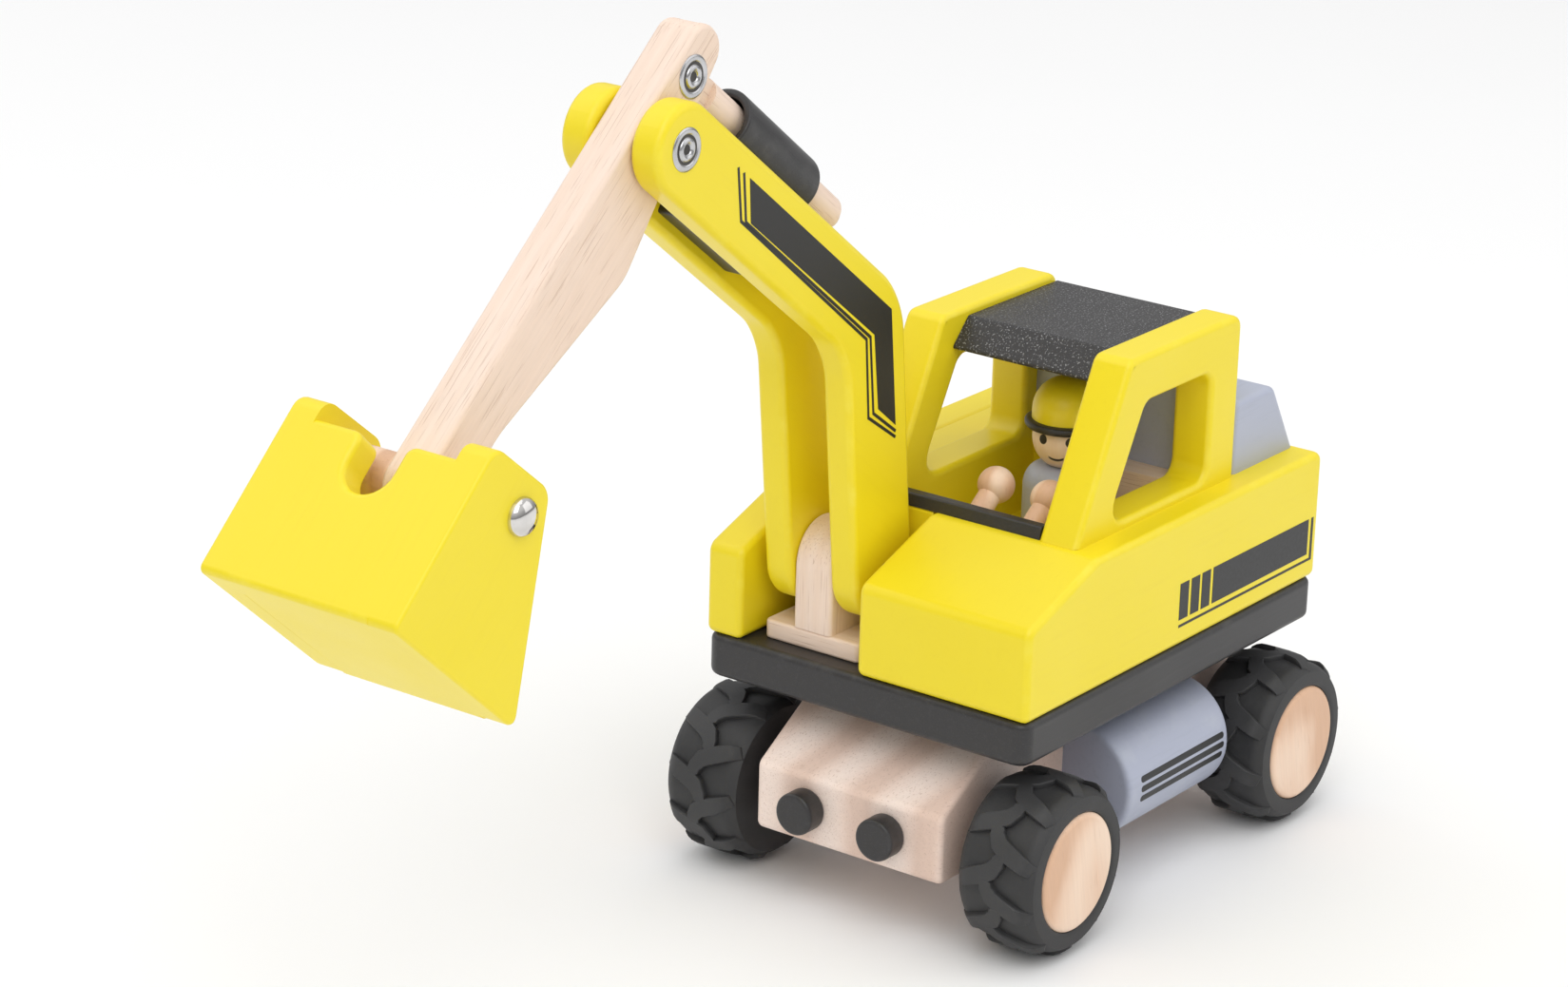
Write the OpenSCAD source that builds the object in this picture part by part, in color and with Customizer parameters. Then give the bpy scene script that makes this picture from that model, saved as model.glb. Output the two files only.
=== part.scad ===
// Wooden toy excavator: a wheeled chassis block, a house that slews on it, and a
// two-plate boom with a pivoting stick and bucket. Millimetres, +Z up, +X is the
// boom side, +Y is the driver's left. The origin is on the floor under the slew axis.

/* [House] */
// Width of the black turntable plate and of the house across Y
plate_w = 120; // [118:1:124]
// Length of the plate along X
plate_l = 169; // [166:1:176]
// Thickness of the plate
plate_t = 14.2; // [12:0.2:14.4]
// Height of the yellow side blocks above the plate
block_h = 42.7; // [42:0.1:44]
// Height of the cab side panels above the blocks
cab_h = 53.6; // [50:0.2:58]
// Thickness of the cab side panels
panel_t = 14; // [11:0.5:14]

/* [Undercarriage] */
// Half the length of the beech chassis block
chassis_half_l = 89.6; // [88:0.1:96]
// Width of the chassis block across Y
chassis_w = 70; // [66:0.5:70]
// Distance between the two axles
wheelbase = 132.6; // [128:0.2:134]
// Outer radius of a tyre over its lugs
tyre_r = 27.9; // [27.5:0.1:28.4]
// Radius of the wooden wheel hub
hub_r = 19; // [16:0.5:20]
// Radius of the wooden axle rods
axle_r = 3.5; // [3:0.1:4]

/* [Boom and stick] */
// Thickness of each of the two boom plates
boom_t = 10.3; // [8:0.1:10.6]
// Width of the upper run of the boom, seen from the side
boom_w = 27.7; // [24:0.1:28]
// Thickness of the stick between the boom plates
stick_t = 14; // [12:0.5:14]
// Radius of the sliding push rod
rod_r = 5.9; // [5:0.1:6]
// Outer radius of the black barrel
barrel_r = 10.2; // [10:0.1:11]

/* [Bucket] */
// Width of the bucket across Y
bucket_w = 70; // [60:1:76]
// Thickness of the bucket's side boards
bucket_side_t = 10; // [8:0.5:10]

/* [Driver] */
// Radius of the driver's head
head_r = 10.6; // [9:0.1:11]

/* [Hidden] */
$fn = 64;
pivot_clear = 0.05;
arc_steps = 8;

axle_z = tyre_r;
axle_x = wheelbase / 2;
tyre_in = 42;
hub_in = 43.6;
tyre_out = 69.6;

block_bottom = 21;
block_top = 57.5;
ridge_z = 43.4;
washer_r = 28;
tank_r = 18.9;
tank_x0 = -35.3;
tank_l = 58.9;

plate_z0 = 64.5;
plate_z1 = plate_z0 + plate_t;
deck_z = plate_z1 + block_h;
deck_front = 48.4;
slot_y0 = -46.7;
slot_y1 = -2.4;
core_front = 46;

well_z = 98;
lever_r = 3.6;
well_x0 = -34;
well_x1 = 38;

panel_left_y1 = 50.8;
panel_left_y0 = panel_left_y1 - panel_t;
panel_right_y0 = -32.3;
panel_right_y1 = panel_right_y0 + panel_t;
cab_top = deck_z + cab_h;
cab_mid_y = (panel_left_y0 + panel_right_y1) / 2;
roof_z0 = deck_z + 41.6;
roof_z1 = roof_z0 + 9.4;

boom_y = -25;
post_t = 14.3;
gap = 14.6;
boom_in = gap / 2;
boom_out = boom_in + boom_t;
boom_x = 63.5;
boom_z = 105.5;
pivot_r = 3;

boom_pitch = 37.4;
boom_lean = 6;
leg_half = 15;
arm_half = boom_w / 2;

// Stick pivot on the boom, and the rod pin above it
p1 = [166.6, 259.5];
stick_pitch = -41.3;
stick_axis = [cos(stick_pitch), sin(stick_pitch)];
stick_front = [-sin(stick_pitch), cos(stick_pitch)];
rod_pin_t = -22.6;
rod_pin_n = 1.4;
p2 = p1 + rod_pin_t * stick_axis + rod_pin_n * stick_front;
bucket_pin_t = 120.5;
bucket_pin_n = 0.8;
pin = p1 + bucket_pin_t * stick_axis + bucket_pin_n * stick_front;
rivet_r = 2.6;
eyelet_r = 6.4;
eyelet_t = 0.9;

bucket_pitch = -44.4;
bucket_in = bucket_w / 2 - bucket_side_t;
bucket_pin_r = 3.2;

barrel_s0 = 214.9;
barrel_s1 = 258.8;
barrel_o = 126.4;
barrel_bore_r = 7.8;
rod_len = 96;
tongue_t = 7;
tongue_w = rod_r - 1.2;
fork_t = 7.4;

driver_x = -9.5;
driver_y = cab_mid_y;
head_z = 134.4;

yellow = [0.96, 0.85, 0.22];
black = [0.16, 0.15, 0.16];
beech = [0.88, 0.70, 0.56];
grey = [0.60, 0.63, 0.72];
steel = [0.72, 0.72, 0.74];

function unit(v) = v / norm(v);
function turn(a) = a > 180 ? a - 360 : a < -180 ? a + 360 : a;

// Corner of a profile rounded to radius r, as a short run of points
function corner(a, p, b, r, steps) =
    let (d0 = unit(a - p), d1 = unit(b - p),
         half = acos(d0 * d1) / 2,
         t = r / tan(half),
         c = p + unit(d0 + d1) * r / sin(half),
         s = p + d0 * t - c,
         e = p + d1 * t - c,
         a0 = atan2(s[1], s[0]),
         sweep = turn(atan2(e[1], e[0]) - a0))
    [for (i = [0 : steps]) c + r * [cos(a0 + sweep * i / steps), sin(a0 + sweep * i / steps)]];

// Outline with each corner rounded to its own radius; a radius of 0 leaves it sharp
function rounded(pts, rs, steps = arc_steps) =
    let (n = len(pts))
    [for (i = [0 : n - 1])
        each rs[i] <= 0 ? [pts[i]]
            : corner(pts[(i + n - 1) % n], pts[i], pts[(i + 1) % n], rs[i], steps)];

// A profile drawn in X and Z, cut as a board from y0 to y1
module board(y0, y1) {
    translate([0, y1, 0]) rotate([90, 0, 0]) linear_extrude(y1 - y0) children();
}

// A round bar along Y
module bar_y(x, z, r, y0, y1) {
    translate([x, y0, z]) rotate([-90, 0, 0]) cylinder(r = r, h = y1 - y0);
}

module rounded_plate(x0, x1, y0, y1, z0, z1, r) {
    translate([0, 0, z0]) linear_extrude(z1 - z0)
        polygon(rounded([[x0, y0], [x1, y0], [x1, y1], [x0, y1]], [r, r, r, r], 6));
}

// ---- undercarriage ----

module chassis_profile() {
    slope_x = chassis_half_l - (block_top - ridge_z) * 1.584;
    polygon(rounded([[-chassis_half_l, block_bottom], [chassis_half_l, block_bottom],
        [chassis_half_l, ridge_z], [slope_x, block_top], [-slope_x, block_top],
        [-chassis_half_l, ridge_z]], [3, 3, 5, 5, 5, 5], 6));
}

module chassis_block() color(beech) difference() {
    board(-chassis_w / 2, chassis_w / 2) chassis_profile();
    for (s = [-1, 1])
        bar_y(s * axle_x, axle_z, axle_r + pivot_clear, -chassis_w / 2 - 1, chassis_w / 2 + 1);
    translate([0, 0, 36]) cylinder(r = 5, h = 40);
}

module headlamp(side) color(black)
    translate([chassis_half_l, side * 15.1, 33.2]) rotate([0, 90, 0]) {
        cylinder(r = 6.8, h = 6.6);
        translate([0, 0, 6.6]) cylinder(r1 = 6.8, r2 = 5.8, h = 1.2);
    }

module tank(side) color(grey) difference() {
    translate([tank_x0, side * 41.5, 36]) rotate([0, 90, 0]) {
        cylinder(r1 = tank_r - 1.2, r2 = tank_r, h = 1.2);
        translate([0, 0, 1.2]) cylinder(r = tank_r, h = tank_l - 2.4);
        translate([0, 0, tank_l - 1.2]) cylinder(r1 = tank_r, r2 = tank_r - 1.2, h = 1.2);
    }
    translate([-40, side > 0 ? 10 : -chassis_w / 2, 10]) cube([80, chassis_w / 2 - 10, 60]);
}

module turntable_washer() color(black) translate([0, 0, block_top]) difference() {
    cylinder(r = washer_r, h = 6.9);
    translate([0, 0, -1]) cylinder(r = 5, h = 9);
}

module slew_pin() color(steel) {
    translate([0, 0, 36]) cylinder(r = 5, h = 38);
    translate([0, 0, 74]) cylinder(r = 9, h = 3.8);
}

// ---- wheels ----

module axle_rod(x) color(beech) bar_y(x, axle_z, axle_r, -66, 66);

module spacers(x) color(black) for (s = [-1, 1])
    difference() {
        bar_y(x, axle_z, 7, s > 0 ? chassis_w / 2 + 0.3 : -hub_in,
            s > 0 ? hub_in : -chassis_w / 2 - 0.3);
        bar_y(x, axle_z, axle_r, -60, 60);
    }

// Wheel parts are drawn about Z with the outer face up, then laid along Y
module wheel_place(x, side) {
    translate([x, 0, axle_z]) rotate([side > 0 ? -90 : 90, 0, 0]) children();
}

module hub(x, side) color(beech) wheel_place(x, side) difference() {
    rotate_extrude() polygon([[0, hub_in], [hub_r - 0.6, hub_in], [hub_r, hub_in + 0.6], [hub_r, 68.4],
        [hub_r - 0.9, 69.4], [hub_r - 4, 69.9], [hub_r - 9, 70.2], [0, 70.3]]);
    translate([0, 0, 40]) cylinder(r = axle_r, h = 26);
}

carcass_r = tyre_r - 2.5;

module tyre(x, side) color(black) wheel_place(x, side) union() {
    rotate_extrude() polygon([[7.3, tyre_in], [carcass_r - 4, tyre_in],
        [carcass_r - 1.6, tyre_in + 1.2], [carcass_r, tyre_in + 4.5],
        [carcass_r, tyre_out - 4.5], [carcass_r - 1.6, tyre_out - 1.2],
        [carcass_r - 4, tyre_out], [hub_r, tyre_out], [hub_r, hub_in - 0.1],
        [7.3, hub_in - 0.1]]);
    intersection() {
        translate([0, 0, tyre_in + 0.4]) cylinder(r = tyre_r, h = tyre_out - tyre_in - 0.8);
        for (i = [0 : 9], s = [-1, 1])
            rotate([0, 0, i * 36 + (s > 0 ? 18 : 0)])
                translate([0, 0, (tyre_in + tyre_out) / 2 + s * 6])
                    rotate([s * 24, 0, 0])
                        translate([carcass_r - 3, -2.7, -7])
                            cube([8, 5.4, 14]);
    }
}

// ---- house ----

module turntable_plate() color(black) difference() {
    rounded_plate(-plate_l / 2, plate_l / 2, -plate_w / 2, plate_w / 2, plate_z0, plate_z1, 5);
    translate([0, 0, plate_z0 - 1]) cylinder(r = 5 + pivot_clear, h = 30);
    translate([0, 0, 73.9]) cylinder(r = 9.3, h = 20);
}

module side_profile() {
    x1 = plate_l / 2;
    polygon(rounded([[-x1, plate_z1], [x1, plate_z1], [x1, plate_z1 + 29.5],
        [deck_front, deck_z], [-x1, deck_z]], [1, 1, 4, 6, 3], 6));
}

module cab_well() {
    translate([well_x0, panel_right_y1, well_z])
        cube([well_x1 - well_x0, panel_left_y0 - panel_right_y1, 60]);
}

module left_side_block() color(yellow) difference() {
    board(slot_y1, plate_w / 2) side_profile();
    cab_well();
    for (y = [6, 25.7]) lever_at(y) cylinder(r = lever_r, h = 19);
}

module right_side_block() color(yellow) board(-plate_w / 2, slot_y0) side_profile();

module core_block() color(yellow) difference() {
    translate([-plate_l / 2, slot_y0, plate_z1])
        cube([plate_l / 2 + core_front, slot_y1 - slot_y0, block_h]);
    cab_well();
}

function panel_outline() = [[46.9, deck_z], [20.6, cab_top], [-43.9, cab_top], [-43.9, deck_z]];
function window_outline() = [[29.4, deck_z + 2.8], [10.4, deck_z + 38.2],
    [-27.5, deck_z + 38.2], [-27.5, deck_z + 2.8]];

module cab_panel(y0) color(yellow) board(y0, y0 + panel_t) difference() {
    polygon(rounded(panel_outline(), [0, 4, 4, 0], 6));
    polygon(rounded(window_outline(), [6, 5, 5, 5], 6));
}

module cab_roof() color(black) board(panel_right_y1, panel_left_y0)
    polygon([[16.2, roof_z0], [7.2, roof_z1], [-43.9, roof_z1], [-43.9, roof_z0]]);

module cab_back_wall() color(grey) translate([-43.9, panel_right_y1, deck_z])
    cube([10, panel_left_y0 - panel_right_y1, roof_z0 - deck_z]);

module cab_sill() color(black) board(panel_right_y1, panel_left_y0)
    polygon(rounded([[41, deck_z], [46, deck_z], [45.2, deck_z + 3.9], [41, deck_z + 3.9]],
        [0, 0, 0.8, 0.8], 4));

module cab_bench() color(beech) translate([well_x0 + 0.2, driver_y, well_z])
    cube([9.8, panel_left_y0 - 0.1 - driver_y, deck_z + 0.8 - well_z]);

module engine_block() color(grey) board(panel_right_y0 + 0.5, panel_left_y1 - 0.5)
    polygon(rounded([[-44, deck_z], [-44, deck_z + 24.2], [-67.4, deck_z + 24.2],
        [-81.7, deck_z]], [0, 2, 4, 0], 5));

// A lever leans back out of the front wall of the cab well
module lever_at(y) {
    translate([25.2, y, 125.3]) rotate([0, 126, 0]) children();
}

module lever(y) color(beech) lever_at(y) {
    cylinder(r = lever_r, h = 19);
    translate([0, 0, -1.5]) sphere(r = 5.9);
}

// ---- driver ----

module driver_body() color(grey) translate([driver_x, driver_y, well_z])
    rotate_extrude() polygon([[0, 0], [12.2, 0], [12.9, 0.7], [12.9, 21.5], [12.3, 24],
        [10.6, 26], [8.2, 27.2], [5, 27.6], [0, 27.6]]);

module driver_head() color(beech) translate([driver_x, driver_y, head_z]) difference() {
    sphere(r = head_r);
    translate([-20, -20, 4]) cube([40, 40, 20]);
    translate([0, 0, -20 - 8.8]) cylinder(r = 20, h = 20);
}

module driver_brim() color(black) translate([driver_x, driver_y, head_z + 3.2]) difference() {
    rotate_extrude() polygon([[0, 0], [12.4, 0], [13.2, 0.8], [13.2, 2.2], [12.4, 3], [0, 3]]);
    translate([0, 0, -1]) cylinder(r = head_r, h = 1.8);
}

module driver_hat() color(yellow) translate([driver_x, driver_y, head_z + 6.2]) {
    cylinder(r = 11, h = 2.6);
    intersection() {
        translate([0, 0, 2.6]) sphere(r = 11);
        translate([0, 0, 2.6]) cylinder(r = 12, h = 12);
    }
}

// ---- boom ----

module boom_foot_board() color(beech)
    rounded_plate(50.4, 76.6, boom_y - 18.2, boom_y + 18.2, plate_z1, plate_z1 + 6.3, 2);

module boom_post() color(beech) board(boom_y - post_t / 2, boom_y + post_t / 2) difference() {
    union() {
        translate([boom_x - 13.1, plate_z1 + 6.3]) square([26.2, boom_z - plate_z1 - 6.3]);
        translate([boom_x, boom_z]) circle(r = 13.1);
    }
    translate([boom_x, boom_z]) circle(r = pivot_r + pivot_clear);
}

// Boom side outline: a leaning leg, a rounded elbow and the long upper run
leg_dir = [sin(boom_lean), cos(boom_lean)];
leg_out = [-cos(boom_lean), sin(boom_lean)];
arm_dir = [cos(boom_pitch), sin(boom_pitch)];
arm_up = [-sin(boom_pitch), cos(boom_pitch)];
foot = [boom_x, boom_z];
tip = p1 - 1.2 * arm_dir;

function cross2(a, b) = a[0] * b[1] - a[1] * b[0];
function meet(p, d, q, e) = p + d * cross2(q - p, e) / cross2(d, e);
elbow_top = meet(foot + leg_half * leg_out, leg_dir, tip + arm_half * arm_up, arm_dir);
elbow_low = meet(foot - leg_half * leg_out, leg_dir, tip - arm_half * arm_up, arm_dir);

module boom_profile() {
    difference() {
        union() {
            polygon(concat(
                [foot - leg_half * leg_out],
                corner(foot - leg_half * leg_out, elbow_low, tip - arm_half * arm_up, 25, 10),
                [tip - arm_half * arm_up, tip + arm_half * arm_up],
                corner(tip + arm_half * arm_up, elbow_top, foot + leg_half * leg_out, 28, 12),
                [foot + leg_half * leg_out]));
            translate(foot) circle(r = leg_half);
            translate(tip) circle(r = arm_half);
        }
        translate(foot) circle(r = pivot_r);
        translate(p1) circle(r = rivet_r);
    }
}

module boom_plate(side) color(yellow)
    board(side > 0 ? boom_y + boom_in : boom_y - boom_out,
          side > 0 ? boom_y + boom_out : boom_y - boom_in) boom_profile();

module boom_pivot_pin() color(beech)
    bar_y(boom_x, boom_z, pivot_r, boom_y - boom_out, boom_y + boom_out);

// Places a child whose X runs up the boom and whose Y stands off it
module on_boom() {
    rotate(boom_pitch) children();
}

module boom_filler() color(black) difference() {
    board(boom_y - boom_in, boom_y + boom_in) on_boom()
        polygon(rounded([[barrel_s0, 95.5], [barrel_s1, 95.5], [barrel_s1, 119.2],
            [barrel_s0, 119.2]], [3, 1, 0, 0], 5));
    barrel_place() cylinder(r = barrel_r, h = barrel_s1 - barrel_s0);
}

module barrel_place() {
    translate([0, boom_y, 0]) rotate([0, -boom_pitch, 0])
        translate([barrel_s0, 0, barrel_o]) rotate([0, 90, 0]) children();
}

module barrel() color(black) barrel_place() difference() {
    union() {
        cylinder(r1 = barrel_r - 0.9, r2 = barrel_r, h = 0.9);
        translate([0, 0, 0.9]) cylinder(r = barrel_r, h = barrel_s1 - barrel_s0 - 1.8);
        translate([0, 0, barrel_s1 - barrel_s0 - 0.9])
            cylinder(r1 = barrel_r, r2 = barrel_r - 0.9, h = 0.9);
    }
    translate([0, 0, -1]) cylinder(r = barrel_bore_r, h = 60);
}

// A tubular rivet through the width between y0 and y1, with a washer at each end
module rivet(p, y0, y1) {
    difference() {
        union() {
            bar_y(p[0], p[1], rivet_r, y0 - eyelet_t, y1 + eyelet_t);
            for (y = [y0 - eyelet_t, y1]) bar_y(p[0], p[1], eyelet_r, y, y + eyelet_t);
        }
        bar_y(p[0], p[1], 1.5, y0 - 3, y1 + 3);
    }
}

module stick_rivet() color(steel) rivet(p1, boom_y - boom_out, boom_y + boom_out);

// ---- stick, rod and bucket ----

// Places a profile whose X runs down the stick and whose Y points to its front
module on_stick() {
    translate(p1) rotate(stick_pitch) children();
}

module stick_profile() on_stick() difference() {
    union() {
        polygon(rounded([[-37.5, 10.3], [121, 9.8], [121, -8.2], [95, -8.2], [34, -19.6],
            [-38.5, -3.2]], [7, 0, 0, 30, 16, 8], 8));
        translate([bucket_pin_t, bucket_pin_n]) circle(r = 9);
    }
    circle(r = rivet_r + pivot_clear);
    translate([rod_pin_t, rod_pin_n]) circle(r = rivet_r);
    translate([bucket_pin_t, bucket_pin_n]) circle(r = bucket_pin_r + pivot_clear);
}

module stick() color(beech) difference() {
    board(boom_y - stick_t / 2, boom_y + stick_t / 2) stick_profile();
    board(boom_y - fork_t / 2, boom_y + fork_t / 2) on_stick()
        polygon([[-50, 7.6], [-11, 7.6], [-11, -30], [-50, -30]]);
}

module rod_rivet() color(steel) rivet(p2, boom_y - stick_t / 2, boom_y + stick_t / 2);

// The rod runs back down the boom from its pin, through the barrel
module rod_place() {
    translate([p2[0], boom_y, p2[1]]) rotate([0, -boom_pitch - 90, 0]) children();
}

module push_rod() color(beech) difference() {
    union() {
        board(boom_y - tongue_t / 2, boom_y + tongue_t / 2) translate(p2) rotate(boom_pitch) {
            circle(r = tongue_w);
            translate([-16, -tongue_w]) square([16, 2 * tongue_w]);
        }
        rod_place() {
            translate([0, 0, 14.5]) cylinder(r = rod_r, h = rod_len - 3 - 14.5);
            translate([0, 0, rod_len - 3]) cylinder(r1 = rod_r, r2 = rod_r - 2, h = 3);
        }
    }
    bar_y(p2[0], p2[1], rivet_r + pivot_clear, boom_y - 20, boom_y + 20);
}

// Places a profile whose X runs down the bucket's back and whose Y points out of it
module on_bucket() {
    translate(pin) rotate(bucket_pitch) children();
}

module bucket_back() color(yellow) difference() {
    board(boom_y - bucket_in, boom_y + bucket_in) on_bucket()
        polygon([[-2.5, 12.5], [48.4, 12.5], [48.4, 22.9], [-2.5, 22.9]]);
    translate([pin[0], boom_y, pin[1]]) rotate([0, -bucket_pitch, 0]) {
        translate([-20, -8, 0]) cube([26.5, 16, 40]);
        translate([6.5, 0, 0]) cylinder(r = 8, h = 40);
    }
}

module bucket_floor() color(yellow) board(boom_y - bucket_in, boom_y + bucket_in) on_bucket()
    polygon(rounded([[48.4, 12.5], [38.2, 12.5], [34.4, -39.2], [43.9, -42]],
        [0, 0, 2, 2], 4));

module bucket_side(side) color(yellow)
    board(side > 0 ? boom_y + bucket_in : boom_y - bucket_w / 2,
          side > 0 ? boom_y + bucket_w / 2 : boom_y - bucket_in) on_bucket()
    difference() {
        polygon(rounded([[-8.6, 22.9], [-11.8, -5.8], [43.9, -42.2], [48.6, 22.9]],
            [5, 6, 5, 3], 6));
        circle(r = bucket_pin_r);
    }

module bucket_pin() color(steel) {
    bar_y(pin[0], pin[1], bucket_pin_r, boom_y - bucket_w / 2, boom_y + bucket_w / 2);
    for (s = [-1, 1])
        translate([pin[0], boom_y + s * bucket_w / 2, pin[1]]) rotate([s > 0 ? -90 : 90, 0, 0])
            rotate_extrude() polygon([[0, 0], [5.6, 0], [5.6, 0.9], [5, 1.9], [3.7, 2.8],
                [2, 3.3], [0, 3.5]]);
}

module bucket_spacers() color(beech) for (s = [-1, 1])
    difference() {
        bar_y(pin[0], pin[1], 7.5, s > 0 ? boom_y + stick_t / 2 + 0.3 : boom_y - bucket_in,
              s > 0 ? boom_y + bucket_in : boom_y - stick_t / 2 - 0.3);
        bar_y(pin[0], pin[1], bucket_pin_r, boom_y - 40, boom_y + 40);
    }

chassis_block();
headlamp(1);  // headlamp_left
headlamp(-1);  // headlamp_right
tank(1);  // tank_left
tank(-1);  // tank_right
turntable_washer();
slew_pin();
axle_rod(axle_x);  // front_axle_rod
spacers(axle_x);  // front_spacers
hub(axle_x, 1);  // front_hub_left
hub(axle_x, -1);  // front_hub_right
tyre(axle_x, 1);  // front_tyre_left
tyre(axle_x, -1);  // front_tyre_right
axle_rod(-axle_x);  // rear_axle_rod
spacers(-axle_x);  // rear_spacers
hub(-axle_x, 1);  // rear_hub_left
hub(-axle_x, -1);  // rear_hub_right
tyre(-axle_x, 1);  // rear_tyre_left
tyre(-axle_x, -1);  // rear_tyre_right
turntable_plate();
left_side_block();
right_side_block();
core_block();
cab_panel(panel_left_y0);  // cab_panel_left
cab_panel(panel_right_y0);  // cab_panel_right
cab_roof();
cab_back_wall();
cab_sill();
cab_bench();
engine_block();
lever(25.7);  // lever_left
lever(6);  // lever_right
driver_body();
driver_head();
driver_brim();
driver_hat();
boom_foot_board();
boom_post();
boom_plate(1);  // boom_plate_left
boom_plate(-1);  // boom_plate_right
boom_pivot_pin();
boom_filler();
barrel();
stick_rivet();
stick();
rod_rivet();
push_rod();
bucket_back();
bucket_floor();
bucket_side(1);  // bucket_side_left
bucket_side(-1);  // bucket_side_right
bucket_pin();
bucket_spacers();
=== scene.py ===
import math

import bmesh
import bpy
from mathutils import Matrix, Vector


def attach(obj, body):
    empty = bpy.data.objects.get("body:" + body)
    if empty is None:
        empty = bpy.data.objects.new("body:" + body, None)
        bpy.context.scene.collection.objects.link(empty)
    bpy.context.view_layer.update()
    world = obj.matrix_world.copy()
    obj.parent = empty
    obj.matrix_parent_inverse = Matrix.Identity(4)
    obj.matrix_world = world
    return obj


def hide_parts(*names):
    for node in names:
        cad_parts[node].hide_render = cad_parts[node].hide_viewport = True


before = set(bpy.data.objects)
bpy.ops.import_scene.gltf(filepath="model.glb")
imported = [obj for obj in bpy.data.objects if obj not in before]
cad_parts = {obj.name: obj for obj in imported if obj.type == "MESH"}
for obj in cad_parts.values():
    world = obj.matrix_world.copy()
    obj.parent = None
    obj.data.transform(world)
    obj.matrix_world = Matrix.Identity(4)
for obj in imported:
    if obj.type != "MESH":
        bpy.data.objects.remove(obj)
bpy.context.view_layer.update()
mm = 0.001
boomMid = -25.0
print("frame loaded")


def finishPiece(name, bm, body, material, stands=(), smoothAngle=32, scale=mm):
    bmesh.ops.remove_doubles(bm, verts=bm.verts[:], dist=0.002)
    bmesh.ops.recalc_face_normals(bm, faces=bm.faces[:])
    bmesh.ops.scale(bm, vec=(scale, scale, scale), verts=bm.verts[:])
    mesh = bpy.data.meshes.new(name)
    bm.to_mesh(mesh)
    bm.free()
    mesh.materials.append(material)
    mesh.shade_smooth()
    mesh.set_sharp_from_angle(angle=math.radians(smoothAngle))
    piece = bpy.data.objects.new(name, mesh)
    bpy.context.scene.collection.objects.link(piece)
    weighted = piece.modifiers.new("flatFaces", "WEIGHTED_NORMAL")
    weighted.keep_sharp = True
    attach(piece, body)
    if stands:
        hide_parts(*stands)
    return piece


def roundOver(bm, edges, size, segments):
    if edges and size > 0:
        bmesh.ops.bevel(bm, geom=edges, offset=size, offset_type="OFFSET", affect="EDGES",
                        segments=segments, profile=0.5, material=-1, clamp_overlap=False)


def cornerSetback(before, here, after, radius):
    # distance from the corner at which an arc of this radius leaves each side
    a = (Vector(before) - Vector(here)).normalized()
    b = (Vector(after) - Vector(here)).normalized()
    half = math.acos(max(-1.0, min(1.0, a.dot(b)))) / 2
    return radius / math.tan(half)


def depthEdges(bm, point):
    found = []
    for edge in bm.edges:
        p, q = edge.verts[0].co, edge.verts[1].co
        if abs(p.x - q.x) + abs(p.z - q.z) < 1e-4 and abs(p.x - point[0]) + abs(p.z - point[1]) < 1e-3:
            found.append(edge)
    return found


def rimEdges(bm, y, skip):
    found = []
    for edge in bm.edges:
        p, q = edge.verts[0].co, edge.verts[1].co
        if abs(p.y - y) > 1e-3 or abs(q.y - y) > 1e-3 or len(edge.link_faces) != 2:
            continue
        if edge.calc_face_angle(0) > 0.6 and not (skip and skip((p + q) / 2)):
            found.append(edge)
    return found


def roundCorners(bm, outline, radii):
    count = len(outline)
    for i in range(count):
        if radii[i] > 0:
            setback = cornerSetback(outline[i - 1], outline[i], outline[(i + 1) % count], radii[i])
            roundOver(bm, depthEdges(bm, outline[i]), setback, max(5, round(radii[i] * 0.9)))


def markBands(bm, low, high, rims):
    # wear sits only within the rounded rims of a board, never on its flat sides
    wear = bm.verts.layers.float.new("wear")
    for vert in bm.verts:
        inLow = 0.05 < vert.co.y - low < rims[0] - 0.05
        inHigh = 0.05 < high - vert.co.y < rims[1] - 0.05
        vert[wear] = 1.0 if inLow or inHigh else 0.0


def markRims(bm):
    # the rounded rims carry an amount of wear that the paint reads
    wear = bm.verts.layers.float.new("wear")
    for face in bm.faces:
        face.normal_update()
    for vert in bm.verts:
        spread = [a.normal.angle(b.normal, 0) for a in vert.link_faces for b in vert.link_faces]
        vert[wear] = 1.0 if spread and max(spread) > 0.15 else 0.0


def cutBoard(outline, radii, low, high, rims=(2, 2), hole=None, holeRadii=None, skip=None):
    # outline in x and z, the board runs from low to high along y
    bm = bmesh.new()
    outer = [bm.verts.new((x, low, z)) for x, z in outline]
    if hole:
        inner = [bm.verts.new((x, low, z)) for x, z in hole]
        count = len(outer)
        for i in range(count):
            j = (i + 1) % count
            bm.faces.new((outer[i], outer[j], inner[j], inner[i]))
    else:
        bm.faces.new(outer)
    grown = bmesh.ops.extrude_face_region(bm, geom=bm.faces[:], use_keep_orig=True)
    far = [v for v in grown["geom"] if isinstance(v, bmesh.types.BMVert)]
    bmesh.ops.translate(bm, verts=far, vec=(0, high - low, 0))
    bmesh.ops.recalc_face_normals(bm, faces=bm.faces[:])
    roundCorners(bm, outline, radii)
    if hole:
        roundCorners(bm, hole, holeRadii)
    bmesh.ops.dissolve_degenerate(bm, edges=bm.edges[:], dist=0.05)
    roundOver(bm, rimEdges(bm, low, skip), rims[0], 4)
    roundOver(bm, rimEdges(bm, high, skip), rims[1], 4)
    markBands(bm, low, high, rims)
    return bm


def layFlat(bm, z0):
    # a board drawn in x and z is laid down: its outline's z becomes y, its thickness goes up from z0
    bmesh.ops.transform(bm, verts=bm.verts[:],
                        matrix=Matrix(((1, 0, 0, 0), (0, 0, 1, 0), (0, 1, 0, z0), (0, 0, 0, 1))))
    return bm


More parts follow.
